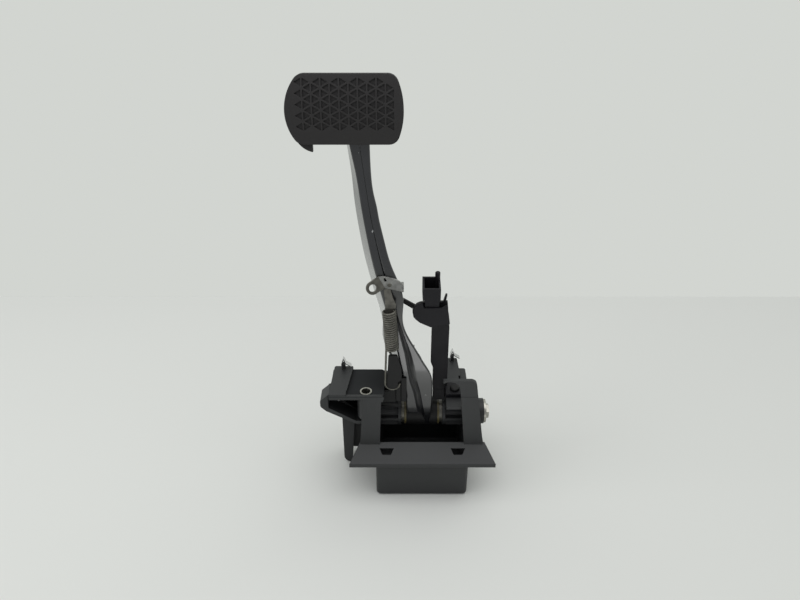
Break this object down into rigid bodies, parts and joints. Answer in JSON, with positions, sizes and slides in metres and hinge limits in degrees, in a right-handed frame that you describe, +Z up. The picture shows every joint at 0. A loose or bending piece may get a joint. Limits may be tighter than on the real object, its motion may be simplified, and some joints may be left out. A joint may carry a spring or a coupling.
{
  "type": "brake pedal",
  "caption": "Car brake pedal: two-shell steel arm with rubber pad, hinged in a moulded bracket, with return spring and brake light switch.",
  "frame": {"origin": "on the plane the bracket stands on, below the middle of the pivot axis", "axes": "+X along the pivot axis, +Y the way the pad is pressed, +Z up from the bracket to the pad"},
  "size_m": [0.1816, 0.091, 0.3882],
  "materials": {
    "bracket_plastic": "grained charcoal moulding",
    "switch_plastic": "near-black moulding",
    "plunger_plastic": "natural acetal",
    "arm_paint": "semi-gloss black dip coat with chips",
    "phosphate_steel": "olive-grey phosphate",
    "zinc_steel": "zinc plated",
    "clip_steel": "bright spring steel",
    "bush_plastic": "yellowish polymer",
    "terminal_brass": "tinned",
    "pad_rubber": "worn rubber"
  },
  "bodies": {
    "bracket": {"pedal_bracket": "bracket_plastic", "mounting_sleeve": "zinc_steel", "clip_left": "clip_steel", "clip_right": "clip_steel", "pivot_bolt": "zinc_steel", "pivot_nut": "zinc_steel", "pivot_spacer": "zinc_steel", "thrust_washer_left": "phosphate_steel", "thrust_washer_right": "phosphate_steel", "spring_anchor": "arm_paint", "anchor_rivet": "zinc_steel", "switch_carrier": "switch_plastic", "carrier_screw": "arm_paint", "switch_housing": "switch_plastic", "switch_terminals": "terminal_brass", "return_spring": "phosphate_steel"},
    "pedal": {"arm_left_shell": "arm_paint", "arm_right_shell": "arm_paint", "pivot_tube": "arm_paint", "pivot_bush_left": "bush_plastic", "pivot_bush_right": "bush_plastic", "pushrod_sleeve": "zinc_steel", "pad_plate": "arm_paint", "pad_rubber": "pad_rubber", "spring_bracket": "phosphate_steel", "switch_striker": "arm_paint"},
    "plunger": {"switch_plunger": "plunger_plastic"}
  },
  "joints": [
    {"name": "pedal_pivot", "type": "hinge", "parent": "bracket", "child": "pedal", "pos_m": [0, 0, 0.07], "axis": [-1, 0, 0], "range_deg": [0, 18], "stiffness_Nm_per_rad": 6, "springref_deg": -28.65, "deforming": ["return_spring"]},
    {"name": "plunger_slide", "type": "slide", "parent": "bracket", "child": "plunger", "axis": [0, 1, 0], "range_m": [0, 0.006]}
  ],
  "couplings": [
    {"joint": "plunger_slide", "follows": "pedal_pivot", "m_per_rad": 0.019}
  ]
}
